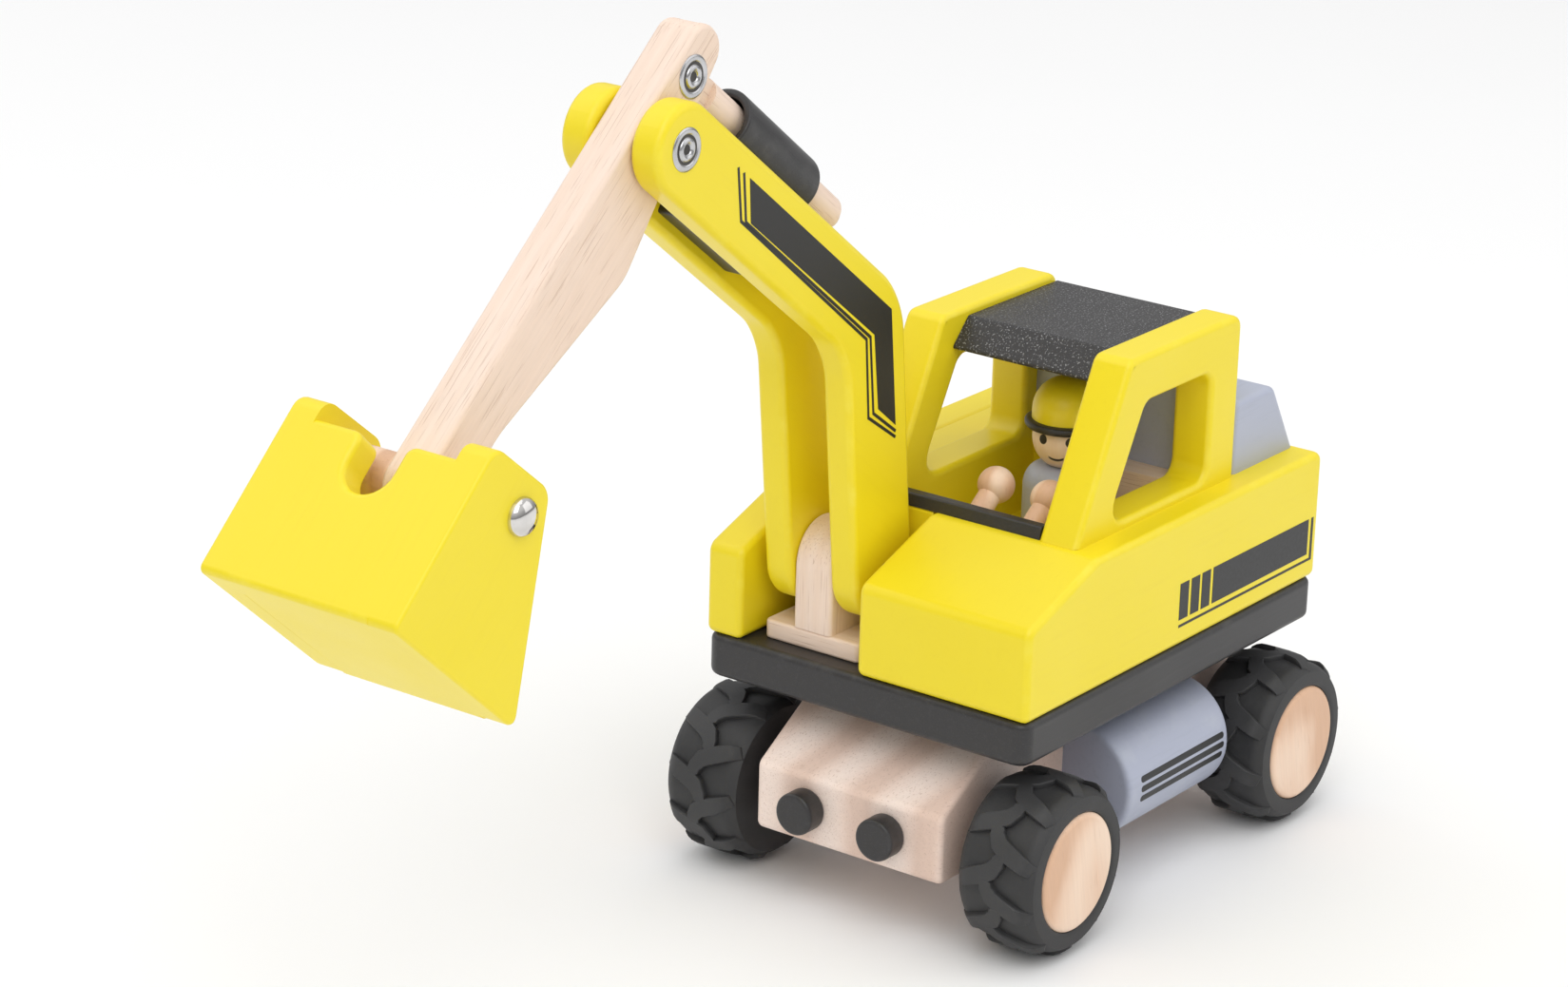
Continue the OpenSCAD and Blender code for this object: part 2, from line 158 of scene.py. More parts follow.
def swing(bm, pivot, angle):
    # turns a board drawn about the origin in x and z, and hangs it on its pivot
    turn = Matrix.Rotation(math.radians(-angle), 4, "Y")
    place = Matrix.Translation((pivot[0], 0, pivot[1]))
    bmesh.ops.transform(bm, verts=bm.verts[:], matrix=place @ turn)
    return bm


def turned(profile, steps=64):
    # profile is radius and height, spun about z
    bm = bmesh.new()
    verts = [bm.verts.new((r, 0, h)) for r, h in profile]
    edges = [bm.edges.new((verts[i], verts[i + 1])) for i in range(len(verts) - 1)]
    bmesh.ops.spin(bm, geom=verts + edges, cent=(0, 0, 0), axis=(0, 0, 1), dvec=(0, 0, 0),
                   angle=math.tau, steps=steps, use_merge=True, use_duplicate=False)
    bmesh.ops.remove_doubles(bm, verts=bm.verts[:], dist=0.002)
    bmesh.ops.dissolve_degenerate(bm, edges=bm.edges[:], dist=0.001)
    markRims(bm)
    return bm


def softProfile(points, radius, steps=4):
    # rounds each inner corner of an open profile
    out = [points[0]]
    for i in range(1, len(points) - 1):
        p = Vector(points[i])
        a = Vector(points[i - 1]) - p
        b = Vector(points[i + 1]) - p
        reach = min(radius, a.length * 0.48, b.length * 0.48)
        start = p + a.normalized() * reach
        end = p + b.normalized() * reach
        for k in range(steps + 1):
            t = k / steps
            out.append(tuple(start * (1 - t) ** 2 + p * 2 * t * (1 - t) + end * t ** 2))
    out.append(points[-1])
    return out


def move(bm, matrix):
    bmesh.ops.transform(bm, verts=bm.verts[:], matrix=matrix)
    return bm


def alongY(x, z, side=1, y=0.0):
    return Matrix.Translation((x, y, z)) @ Matrix.Rotation(math.radians(-90 * side), 4, "X")


def alongX(start):
    return Matrix.Translation(start) @ Matrix.Rotation(math.radians(90), 4, "Y")


def boxCutter(low, high):
    bm = bmesh.new()
    bmesh.ops.create_cube(bm, size=1)
    size = [high[i] - low[i] for i in range(3)]
    middle = [(high[i] + low[i]) / 2 for i in range(3)]
    bmesh.ops.scale(bm, vec=size, verts=bm.verts[:])
    bmesh.ops.translate(bm, vec=middle, verts=bm.verts[:])
    return bm


def carve(bm, cutter):
    # takes the cutter's volume out of a board and returns the board
    meshes = []
    for source in (bm, cutter):
        bmesh.ops.recalc_face_normals(source, faces=source.faces[:])
        mesh = bpy.data.meshes.new("carving")
        source.to_mesh(mesh)
        source.free()
        meshes.append(mesh)
    stock = bpy.data.objects.new("stock", meshes[0])
    tool = bpy.data.objects.new("tool", meshes[1])
    for thing in (stock, tool):
        bpy.context.scene.collection.objects.link(thing)
    cut = stock.modifiers.new("cut", "BOOLEAN")
    cut.operation = "DIFFERENCE"
    cut.solver = "EXACT"
    cut.object = tool
    graph = bpy.context.evaluated_depsgraph_get()
    result = bmesh.new()
    result.from_object(stock, graph)
    bpy.data.objects.remove(stock)
    bpy.data.objects.remove(tool)
    for mesh in meshes:
        bpy.data.meshes.remove(mesh)
    return result


def startMaterial(name):
    material = bpy.data.materials.new(name)
    material.use_nodes = True
    return material, material.node_tree, material.node_tree.nodes["Principled BSDF"]


def node(tree, kind, inputs=None, **settings):
    made = tree.nodes.new("ShaderNode" + kind)
    for key, value in settings.items():
        setattr(made, key, value)
    for key, value in (inputs or {}).items():
        if isinstance(value, bpy.types.NodeSocket):
            tree.links.new(value, made.inputs[key])
        else:
            made.inputs[key].default_value = value
    return made


def place(tree, turn=(0, 0, 0), stretch=(1, 1, 1), shift=(0, 0, 0)):
    # object coordinates, turned so that x runs with the grain and then stretched
    coords = node(tree, "TexCoord")
    first = node(tree, "Mapping", {"Vector": coords.outputs["Object"],
                                   "Rotation": [math.radians(a) for a in turn]})
    second = node(tree, "Mapping", {"Vector": first.outputs[0], "Scale": stretch,
                                    "Location": shift})
    return second.outputs[0]


def ramp(tree, value, stops):
    made = node(tree, "ValToRGB", {"Fac": value})
    band = made.color_ramp
    while len(band.elements) < len(stops):
        band.elements.new(0.5)
    for element, (position, color) in zip(band.elements, stops):
        element.position = position
        element.color = (*color, 1) if len(color) == 3 else color
    return made.outputs["Color"]


def mixColor(tree, amount, a, b, mode="MIX"):
    made = node(tree, "Mix", data_type="RGBA", blend_type=mode)
    for index, value in ((0, amount), (6, a), (7, b)):
        if isinstance(value, bpy.types.NodeSocket):
            tree.links.new(value, made.inputs[index])
        elif index == 0:
            made.inputs[index].default_value = value
        else:
            made.inputs[index].default_value = (*value, 1)
    return made.outputs[2]


def calc(tree, operation, a, b=0.0, clamp=False):
    made = node(tree, "Math", operation=operation, use_clamp=clamp)
    for index, value in ((0, a), (1, b)):
        if isinstance(value, bpy.types.NodeSocket):
            tree.links.new(value, made.inputs[index])
        else:
            made.inputs[index].default_value = value
    return made.outputs[0]


def spread(tree, value, low, high, outLow=0.0, outHigh=1.0):
    made = node(tree, "MapRange", {"Value": value, "From Min": low, "From Max": high,
                                   "To Min": outLow, "To Max": outHigh})
    return made.outputs[0]


def noise(tree, vector, scale, detail=3.0, rough=0.5, distortion=0.0):
    made = node(tree, "TexNoise", {"Vector": vector, "Scale": scale, "Detail": detail,
                                   "Roughness": rough, "Distortion": distortion})
    return made.outputs["Fac"]


def addBump(tree, shader, height, distance, strength=0.5):
    bump = node(tree, "Bump", {"Height": height, "Distance": distance, "Strength": strength})
    tree.links.new(bump.outputs[0], shader.inputs["Normal"])


def bareWood(name, look, turn=(0, 0, 0), shift=(0, 0, 0)):
    material, tree, shader = startMaterial(name)
    along = place(tree, turn, (1, 1, 1), shift)
    long = place(tree, turn, (0.05, 1, 1), shift)
    # growth bands: wide, wavering stripes that follow the grain
    bands = node(tree, "TexWave", {"Vector": place(tree, turn, (look["bandDrift"], 1, 0.6), shift),
                                   "Scale": look["bandScale"], "Distortion": look["waver"],
                                   "Detail": 2.0, "Detail Scale": 0.8},
                 wave_type="BANDS", bands_direction="Y")
    fibre = noise(tree, long, 900, 4, 0.65)
    coarse = noise(tree, long, 260, 3, 0.55)
    patch = noise(tree, along, 14, 2, 0.5)
    poreCells = noise(tree, place(tree, turn, (look["poreLong"], 1, 1), shift), look["poreScale"], 1, 0.4)
    pores = spread(tree, poreCells, look["poreCut"], look["poreCut"] + 0.06)
    tone = calc(tree, "MULTIPLY", bands.outputs["Fac"], look["bandAmount"])
    tone = calc(tree, "ADD", tone, calc(tree, "MULTIPLY", coarse, look["fibreAmount"]))
    tone = calc(tree, "ADD", tone, calc(tree, "MULTIPLY", patch, 0.3))
    color = ramp(tree, tone, [(0.2, look["light"]), (0.62, look["mid"]), (1.0, look["dark"])])
    color = mixColor(tree, calc(tree, "MULTIPLY", pores, look["poreAmount"]), color, look["pore"])
    streak = spread(tree, fibre, 0.3, 0.75, 1.0, 0.93)
    streakColor = node(tree, "CombineColor", {"Red": streak, "Green": streak, "Blue": streak})
    color = mixColor(tree, 1.0, color, streakColor.outputs[0], "MULTIPLY")
    tree.links.new(color, shader.inputs["Base Color"])
    tree.links.new(spread(tree, coarse, 0.3, 0.7, look["rough"] - 0.06, look["rough"] + 0.08),
                   shader.inputs["Roughness"])
    height = calc(tree, "SUBTRACT", calc(tree, "MULTIPLY", fibre, 0.5), pores)
    addBump(tree, shader, height, 0.00018, 0.45)
    return material


def paintedWood(name, look, turn=(0, 0, 0), shift=(0, 0, 0)):
    material, tree, shader = startMaterial(name)
    long = place(tree, turn, (0.06, 1, 1), shift)
    grain = noise(tree, long, 520, 3, 0.6)
    cloud = noise(tree, place(tree, turn, (1, 1, 1), shift), 22, 2, 0.5)
    speck = noise(tree, place(tree, turn, (1, 1, 1), shift), look.get("speckScale", 2400), 1, 0.5)
    color = mixColor(tree, spread(tree, cloud, 0.3, 0.7), look["color"], look["cloud"])
    color = mixColor(tree, spread(tree, grain, 0.55, 0.8, 0, look["grainShow"]), color, look["grain"])
    rim = node(tree, "Attribute", attribute_name="wear").outputs["Fac"]
    chip = spread(tree, noise(tree, place(tree, turn, (1, 1, 1), shift), 95, 4, 0.65), 0.5, 0.72)
    worn = calc(tree, "MULTIPLY", calc(tree, "MULTIPLY", rim, chip), look["wearShow"])
    color = mixColor(tree, worn, color, look["wear"])
    dots = spread(tree, speck, 0.6, 0.72, 0, look["speckShow"])
    color = mixColor(tree, dots, color, look["speck"])
    tree.links.new(color, shader.inputs["Base Color"])
    rough = spread(tree, cloud, 0.3, 0.7, look["rough"] - 0.04, look["rough"] + 0.05)
    tree.links.new(calc(tree, "ADD", rough, calc(tree, "MULTIPLY", worn, 0.15)),
                   shader.inputs["Roughness"])
    shader.inputs["Coat Weight"].default_value = look["coat"]
    shader.inputs["Coat Roughness"].default_value = 0.3
    height = calc(tree, "ADD", calc(tree, "MULTIPLY", grain, 0.8), calc(tree, "MULTIPLY", speck, 0.35))
    addBump(tree, shader, height, look["bump"], 0.5)
    return material


yellowLook = {"color": (0.885, 0.715, 0.009), "cloud": (0.879, 0.707, 0.0085), "grain": (0.80, 0.62, 0.006),
              "grainShow": 0.22, "wear": (0.93, 0.80, 0.08), "wearShow": 0.45,
              "speck": (0.85, 0.66, 0.02), "speckShow": 0.12, "rough": 0.40, "coat": 0.12,
              "bump": 0.00012}
blackLook = {"color": (0.021, 0.0198, 0.0208), "cloud": (0.0235, 0.0222, 0.0232),
             "grain": (0.042, 0.040, 0.042),
             "grainShow": 0.5, "wear": (0.075, 0.072, 0.072), "wearShow": 0.5,
             "speck": (0.09, 0.09, 0.095), "speckShow": 0.2, "rough": 0.42, "coat": 0.1,
             "bump": 0.00016}
roofLook = dict(blackLook, speck=(0.27, 0.27, 0.28), speckShow=1.0, speckScale=1700, bump=0.00045,
                rough=0.42, coat=0.0)
greyLook = {"color": (0.43, 0.46, 0.57), "cloud": (0.415, 0.445, 0.55), "grain": (0.28, 0.30, 0.37),
            "grainShow": 0.3, "wear": (0.50, 0.53, 0.60), "wearShow": 0.45,
            "speck": (0.42, 0.45, 0.52), "speckShow": 0.12, "rough": 0.42, "coat": 0.1,
            "bump": 0.0001}
beechLook = {"light": (0.97, 0.82, 0.735), "mid": (0.92, 0.74, 0.645), "dark": (0.80, 0.60, 0.50),
             "pore": (0.60, 0.41, 0.32), "poreAmount": 0.5, "poreLong": 0.22, "poreScale": 2400,
             "poreCut": 0.635, "bandScale": 14, "bandAmount": 0.85, "bandDrift": 0.55, "waver": 2.6,
             "fibreAmount": 0.25, "rough": 0.55}
palerLook = {"light": (0.93, 0.76, 0.645), "mid": (0.88, 0.69, 0.56), "dark": (0.79, 0.575, 0.445),
             "pore": (0.60, 0.40, 0.30), "poreAmount": 0.55, "poreLong": 0.022, "poreScale": 2600,
             "poreCut": 0.64,
             "bandScale": 60, "bandAmount": 0.2, "bandDrift": 0.05, "waver": 1.2,
             "fibreAmount": 0.42, "rough": 0.5}
hubLook = {"light": (0.94, 0.73, 0.57), "mid": (0.87, 0.62, 0.455), "dark": (0.73, 0.46, 0.30),
           "pore": (0.60, 0.37, 0.24), "poreAmount": 0.2, "poreLong": 0.08, "poreScale": 1300,
           "poreCut": 0.67, "bandScale": 24, "bandAmount": 1.15, "bandDrift": 0.6, "waver": 8.5,
           "fibreAmount": 0.25, "rough": 0.45}

yellow = paintedWood("yellowPaint", yellowLook)
yellowBoom = paintedWood("yellowPaintBoom", yellowLook, turn=(0, 37.4, 0))
yellowBucket = paintedWood("yellowPaintBucket", yellowLook, turn=(0, -44.4, 0))
black = paintedWood("blackStain", blackLook)
blackRoof = paintedWood("blackRoof", roofLook)
barrelLook = dict(blackLook, color=(0.016, 0.015, 0.016), cloud=(0.018, 0.017, 0.018), rough=0.34, coat=0.08)
blackBarrel = paintedWood("blackBarrel", barrelLook, turn=(0, 37.4, 0))
grey = paintedWood("greyPaint", greyLook)
beech = bareWood("beech", beechLook, turn=(0, 0, 28), shift=(0.3, 0.1, 0))
stickWood = bareWood("stickWood", palerLook, turn=(0, -41.3, 0))
postWood = bareWood("postWood", palerLook, turn=(0, 90, 0), shift=(0.2, 0, 0.1))
footWood = bareWood("footWood", palerLook, turn=(0, 0, 90))
rodWood = bareWood("rodWood", palerLook, turn=(0, 37.4, 0), shift=(0, 0.4, 0))
hubWood = bareWood("hubWood", hubLook, turn=(0, 78, 0))
pegWood = bareWood("pegWood", hubLook, turn=(0, 90, 0), shift=(0.1, 0.2, 0.3))


def rubberMaterial():
    material, tree, shader = startMaterial("tyreRubber")
    wide = place(tree)
    dust = noise(tree, wide, 45, 4, 0.6)
    pebble = noise(tree, wide, 1600, 2, 0.6)
    color = mixColor(tree, spread(tree, dust, 0.45, 0.75, 0, 0.6), (0.026, 0.026, 0.027),
                     (0.058, 0.058, 0.060))
    rim = node(tree, "Attribute", attribute_name="wear").outputs["Fac"]
    color = mixColor(tree, calc(tree, "MULTIPLY", rim, 0.3), color, (0.06, 0.06, 0.062))
    tree.links.new(color, shader.inputs["Base Color"])
    tree.links.new(spread(tree, dust, 0.3, 0.7, 0.48, 0.66), shader.inputs["Roughness"])
    addBump(tree, shader, pebble, 0.00012, 0.4)
    return material


def metalMaterial(name, color, rough, scratch):
    material, tree, shader = startMaterial(name)
    lines = noise(tree, place(tree, (0, 0, 0), (1, 0.1, 1)), 1800, 3, 0.6)
    smudge = noise(tree, place(tree), 180, 3, 0.6)
    tint = mixColor(tree, spread(tree, smudge, 0.35, 0.75), color, tuple(c * 0.8 for c in color))
    tree.links.new(tint, shader.inputs["Base Color"])
    shader.inputs["Metallic"].default_value = 1.0
    tree.links.new(spread(tree, smudge, 0.3, 0.7, rough * 0.75, rough * 1.35), shader.inputs["Roughness"])
    addBump(tree, shader, lines, scratch, 0.35)
    return material


def inkMaterial():
    material, tree, shader = startMaterial("stripeInk")
    film = noise(tree, place(tree), 700, 3, 0.6)
    color = mixColor(tree, spread(tree, film, 0.4, 0.75), (0.006, 0.006, 0.007), (0.012, 0.012, 0.012))
    tree.links.new(color, shader.inputs["Base Color"])
    tree.links.new(spread(tree, film, 0.3, 0.7, 0.34, 0.46), shader.inputs["Roughness"])
    addBump(tree, shader, film, 0.00004, 0.4)
    return material


rubber = rubberMaterial()
steel = metalMaterial("rivetSteel", (0.58, 0.58, 0.59), 0.2, 0.00003)
# painted shade: a dark metal for the discs and rings that stand for the shade in the rivets' hollows and
# grooves
paintedShadeSteel = metalMaterial("rivetHollow", (0.10, 0.095, 0.09), 0.4, 0.00003)
chrome = metalMaterial("domeChrome", (0.72, 0.70, 0.68), 0.07, 0.00001)
ink = inkMaterial()
print("materials ready")


chassisBlock = {"outline": [(-89.6, 21), (89.6, 21), (89.6, 43.4), (67.27, 57.5), (-67.27, 57.5),
                            (-89.6, 43.4)],
                "radii": [2.6, 2.6, 3.2, 3.2, 3.2, 3.2], "half": 35, "rim": 2.0}


def makeChassis():
    c = chassisBlock
    bm = cutBoard(c["outline"], c["radii"], -c["half"], c["half"], (c["rim"], c["rim"]))
    finishPiece("chassisBlock", bm, "chassis", beech, ["chassis_block"])


headlamp = {"face": 89.6, "y": 15.1, "z": 33.2, "radius": 6.8, "length": 7.8}


def makeHeadlamps():
    h = headlamp
    r = h["radius"]
    profile = softProfile([(0, 0.01), (r, 0.01), (r, h["length"]), (0, h["length"])], 1.4)
    for side, word in ((1, "left"), (-1, "right")):
        bm = turned(profile, 48)
        move(bm, alongX((h["face"], side * h["y"], h["z"])))
        finishPiece("headlamp" + word.title(), bm, "chassis", black, ["headlamp_" + word])


tank = {"start": -35.3, "length": 58.9, "y": 41.5, "z": 36, "radius": 18.9, "cut": 35,
        "stripeFrom": (-31.9, -31.9, -31.4), "stripeTo": 16.9, "stripes": (39.4, 36.2, 32.9),
        "stripeHalf": 1.05}


def makeTanks():
    t = tank
    profile = softProfile([(0, 0), (t["radius"], 0), (t["radius"], t["length"]), (0, t["length"])], 2.2)
    for side, word in ((1, "left"), (-1, "right")):
        bm = turned(profile, 96)
        move(bm, alongX((t["start"], side * t["y"], t["z"])))
        sliced = bmesh.ops.bisect_plane(bm, geom=bm.verts[:] + bm.edges[:] + bm.faces[:],
                                        plane_co=(0, side * t["cut"], 0), plane_no=(0, side, 0),
                                        clear_inner=True)
        rim = [e for e in sliced["geom_cut"] if isinstance(e, bmesh.types.BMEdge)]
        bmesh.ops.holes_fill(bm, edges=rim, sides=0)
        finishPiece("tank" + word.title(), bm, "chassis", grey, ["tank_" + word])
        for index, level in enumerate(t["stripes"]):
            makeTankStripe(word, side, index, level)


def makeTankStripe(word, side, index, level):
    # a rounded bar of ink that lies on the tank's curve
    t = tank
    bm = bmesh.new()
    low, high = level - t["stripeHalf"], level + t["stripeHalf"]
    rear = t["stripeFrom"][index]
    ring = [bm.verts.new((x, 0, z)) for x, z in ((rear, low), (t["stripeTo"], low),
                                                 (t["stripeTo"], high), (rear, high))]
    bm.faces.new(ring)
    bmesh.ops.bevel(bm, geom=bm.verts[:], offset=0.95, affect="VERTICES", segments=5, profile=0.5,
                    material=-1)
    grown = bmesh.ops.extrude_face_region(bm, geom=bm.faces[:], use_keep_orig=True)
    for vert in [v for v in grown["geom"] if isinstance(v, bmesh.types.BMVert)]:
        vert.co.y = 0.16
    for vert in bm.verts:
        reach = math.sqrt(t["radius"] ** 2 - (vert.co.z - t["z"]) ** 2)
        vert.co.y = side * (t["y"] + reach - 0.08 + vert.co.y)
    finishPiece("tankStripe" + word.title() + str(index + 1), bm, "chassis", ink)


wheel = {"x": 66.3, "z": 27.9, "inner": 42.0, "outer": 69.6, "bead": 19.0, "crown": 26.0, "top": 27.85,
         "flat": 8.6, "drop": 2.3, "lugs": 10, "hubIn": 43.6, "hubOut": 70.3, "web": 7.3}
lug = {"path": [(-5.0, -1.9), (-2.4, -1.5), (0.2, 0.2), (1.9, 3.0), (3.2, 6.4), (4.6, 9.8), (5.8, 12.6)],
       "half": [1.9, 2.4, 2.8, 2.9, 2.8, 2.5, 2.0], "height": 1.85, "sink": 1.2}


def treadRadius(across):
    # the carcass is nearly flat in the middle and falls away at the shoulders
    over = max(0.0, abs(across) - wheel["flat"]) / 5.0
    return wheel["crown"] - wheel["drop"] * over ** 2.2


def makeTyre():
    # one tyre about z, its outer side up, with staggered curved lugs
    w = wheel
    mid = (w["inner"] + w["outer"]) / 2
    tread = [(treadRadius(a), mid + a) for a in (-13.4, -12.8, -11.8, -10.6, -9.2, -6, -3, 0, 3, 6, 9.2,
                                                 10.6, 11.8, 12.8, 13.4)]
    profile = [(w["web"], w["inner"] + 1.4), (w["web"], w["inner"] + 0.1), (w["bead"] + 1, w["inner"] + 0.1)]
    profile += tread
    profile += [(w["bead"] + 1.2, w["outer"]), (w["bead"] + 0.1, w["outer"] - 0.5),
                (w["bead"], w["outer"] - 1.2),
                (w["bead"], w["inner"] + 1.4)]
    bm = turned(profile + [profile[0]], 96)
    for side in (1, -1):
        for index in range(w["lugs"]):
            addLug(bm, side, math.tau * (index + (0.5 if side > 0 else 0)) / w["lugs"], mid)
    markWear(bm)
    return bm


def addLug(bm, side, angle, mid):
    # a flat boomerang wrapped round the tread, where x goes round the tyre and y across it
    piece = bmesh.new()
    left = []
    right = []
    path = [Vector(p) for p in lug["path"]]
    for i, here in enumerate(path):
        along = (path[min(i + 1, len(path) - 1)] - path[max(i - 1, 0)]).normalized()
        normal = Vector((-along.y, along.x))
        half = lug["half"][i]
        left.append(piece.verts.new((*(here + normal * half), 0)))
        right.append(piece.verts.new((*(here - normal * half), 0)))
    for i in range(len(left) - 1):
        piece.faces.new((left[i], left[i + 1], right[i + 1], right[i]))
    bmesh.ops.subdivide_edges(piece, edges=piece.edges[:], cuts=1, use_grid_fill=True)
    grown = bmesh.ops.extrude_face_region(piece, geom=piece.faces[:], use_keep_orig=True)
    top = [v for v in grown["geom"] if isinstance(v, bmesh.types.BMVert)]
    bmesh.ops.translate(piece, verts=top, vec=(0, 0, 1))
    bmesh.ops.recalc_face_normals(piece, faces=piece.faces[:])
    ends = [e for e in piece.edges if abs(e.verts[0].co.z - e.verts[1].co.z) > 0.5
            and e.calc_face_angle(0) > 0.9 and e.verts[0].co.y < 0]
    roundOver(piece, ends, 1.7, 4)
    crest = [e for e in piece.edges if all(v.co.z > 0.9 for v in e.verts) and e.calc_face_angle(0) > 0.9]
    roundOver(piece, crest, 0.28, 2)
    for vert in piece.verts:
        around, across, up = vert.co
        taper = 1 - 0.75 * min(1.0, max(0.0, (across - 8.0) / 4.6)) ** 1.5
        ground = treadRadius(across)
        radius = min(wheel["top"], ground - lug["sink"] + up * (lug["sink"] + lug["height"] * taper))
        turn = angle + around / wheel["crown"]
        level = mid + side * across
        vert.co = (radius * math.cos(turn), radius * math.sin(turn),
                   min(wheel["outer"] - 0.1, max(wheel["inner"] + 0.1, level)))
    bmesh.ops.recalc_face_normals(piece, faces=piece.faces[:])
    carrier = bpy.data.meshes.new("lug")
    piece.to_mesh(carrier)
    piece.free()
    bm.from_mesh(carrier)
    bpy.data.meshes.remove(carrier)


def markWear(bm):
    wear = bm.verts.layers.float.get("wear")
    for vert in bm.verts:
        vert[wear] = 1.0 if Vector(vert.co[:2]).length > wheel["top"] - 0.5 else 0.0


def makeHub():
    w = wheel
    profile = softProfile([(0, w["hubIn"]), (w["bead"] - 0.05, w["hubIn"]),
                           (w["bead"] - 0.05, w["hubOut"] - 1.2),
                           (w["bead"] - 1.4, w["hubOut"] - 0.25), (0, w["hubOut"])], 1.0)
    return turned(profile, 72)


def makeWheels():
    w = wheel
    for end, x in (("front", w["x"]), ("rear", -w["x"])):
        for side, word in ((1, "left"), (-1, "right")):
            tag = end.title() + word.title()
            spot = alongY(x, w["z"], side)
            finishPiece("tyre" + tag, move(makeTyre(), spot @ Matrix.Rotation(0.37 + x * 0.01, 4, "Z")),
                        end + "_axle", rubber, [end + "_tyre_" + word], 40)
            finishPiece("hub" + tag, move(makeHub(), spot), end + "_axle", hubWood,
                        [end + "_hub_" + word], 40)


makeChassis()
makeHeadlamps()
makeTanks()
makeWheels()
print("undercarriage done")


deckTop = 121.4
cabInside = (-18.3, 36.8)  # between the two cab panels, along y
plate = {"x": 84.5, "y": 60, "low": 64.5, "high": 78.7, "corner": 5, "rim": 2.4}
sideBlock = {"outline": [(-84.5, 78.7), (84.5, 78.7), (84.5, 108.2), (48.4, 121.4), (-84.5, 121.4)],
             "radii": [2.6, 2.6, 4, 6, 3.2], "rim": 2.3,
             "left": (-2.4, 60), "right": (-60, -46.7), "core": (-46.7, -2.4), "coreFront": 46}
well = {"low": (-34, cabInside[0], 98), "high": (38, cabInside[1], 160)}
cabPanel = {"outline": [(46.9, 121.4), (20.6, 175), (-43.9, 175), (-43.9, 121.4)], "radii": [0, 4, 4, 0],
            "hole": [(29.4, 124.2), (10.4, 159.6), (-27.5, 159.6), (-27.5, 124.2)],
            "holeRadii": [6, 5, 5, 5], "rim": 2.0, "left": (36.8, 50.8), "right": (-32.3, -18.3)}
roof = {"outline": [(16.2, 163), (7.2, 172.4), (-43.9, 172.4), (-43.9, 163)], "radii": [1, 1.6, 1.2, 0.8]}
sill = {"outline": [(41, 121.4), (46, 121.4), (45.2, 125.3), (41, 125.3)], "radii": [0, 0, 0.9, 0.9]}
engine = {"outline": [(-44, 121.4), (-44, 145.6), (-67.4, 145.6), (-81.7, 121.4)], "radii": [0, 2.4, 4, 0],
          "rim": 2.0, "y": (-31.8, 50.3)}


def onDeck(point):
    # edges glued to the deck stay sharp
    return point.z < deckTop + 0.1


def makeHouse():
    p = plate
    bm = cutBoard([(-p["x"], -p["y"]), (p["x"], -p["y"]), (p["x"], p["y"]), (-p["x"], p["y"])],
                  [p["corner"]] * 4, 0, p["high"] - p["low"], (p["rim"], p["rim"]))
    finishPiece("turntablePlate", layFlat(bm, p["low"]), "house", black, ["turntable_plate"])

    s = sideBlock
    bm = cutBoard(s["outline"], s["radii"], *s["left"], (s["rim"], s["rim"]))
    bm = carve(bm, boxCutter(well["low"], well["high"]))
    finishPiece("leftSideBlock", bm, "house", yellow, ["left_side_block"])
    bm = cutBoard(s["outline"], s["radii"], *s["right"], (s["rim"], s["rim"]))
    finishPiece("rightSideBlock", bm, "house", yellow, ["right_side_block"])
    front = s["coreFront"]
    core = [(-84.5, 78.7), (front, 78.7), (front, 121.4), (-84.5, 121.4)]
    bm = cutBoard(core, [0.8, 0.8, 1.2, 3.2], *s["core"], (0.4, 0.4))
    bm = carve(bm, boxCutter(well["low"], well["high"]))
    finishPiece("coreBlock", bm, "house", yellow, ["core_block"])
    print("blocks done")

    c = cabPanel
    for word in ("left", "right"):
        bm = cutBoard(c["outline"], c["radii"], *c[word], (c["rim"], c["rim"]), c["hole"], c["holeRadii"],
                      onDeck)
        finishPiece("cabPanel" + word.title(), bm, "house", yellow, ["cab_panel_" + word])
    bm = cutBoard(roof["outline"], roof["radii"], *cabInside, (0.3, 0.3))
    finishPiece("cabRoof", bm, "house", blackRoof, ["cab_roof"])
    bm = cutBoard(engine["outline"], engine["radii"], *engine["y"], (engine["rim"], engine["rim"]),
                  skip=onDeck)
    finishPiece("engineBlock", bm, "house", grey, ["engine_block"])
    bm = cutBoard(sill["outline"], sill["radii"], *cabInside, (0.3, 0.3), skip=onDeck)
    finishPiece("cabSill", bm, "house", black, ["cab_sill"])


makeHouse()
print("house done")


foot = {"x": (50.4, 76.6), "half": 18.2, "low": 78.7, "high": 85, "corner": 2.2, "rim": 1.0}
post = {"outline": [(50.4, 85), (76.6, 85), (76.6, 118.6), (50.4, 118.6)], "radii": [0, 0, 13.05, 13.05],
        "half": 7.15, "rim": 1.4}


def makeFoot():
    f = foot
    y0, y1 = boomMid - f["half"], boomMid + f["half"]
    bm = cutBoard([(f["x"][0], y0), (f["x"][1], y0), (f["x"][1], y1), (f["x"][0], y1)], [f["corner"]] * 4,
                  0, f["high"] - f["low"], (f["rim"], f["rim"]))
    finishPiece("boomFootBoard", layFlat(bm, f["low"]), "house", footWood, ["boom_foot_board"])
    bm = cutBoard(post["outline"], post["radii"], boomMid - post["half"], boomMid + post["half"],
                  (post["rim"], post["rim"]), skip=lambda v: v.z < 85.1)
    finishPiece("boomPost", bm, "house", postWood, ["boom_post"])


makeFoot()


driver = {"x": -9.5, "y": 9.25, "base": 98, "head": 134.4, "facing": 15.6, "headRadius": 10.55,
          "hatRadius": 11}


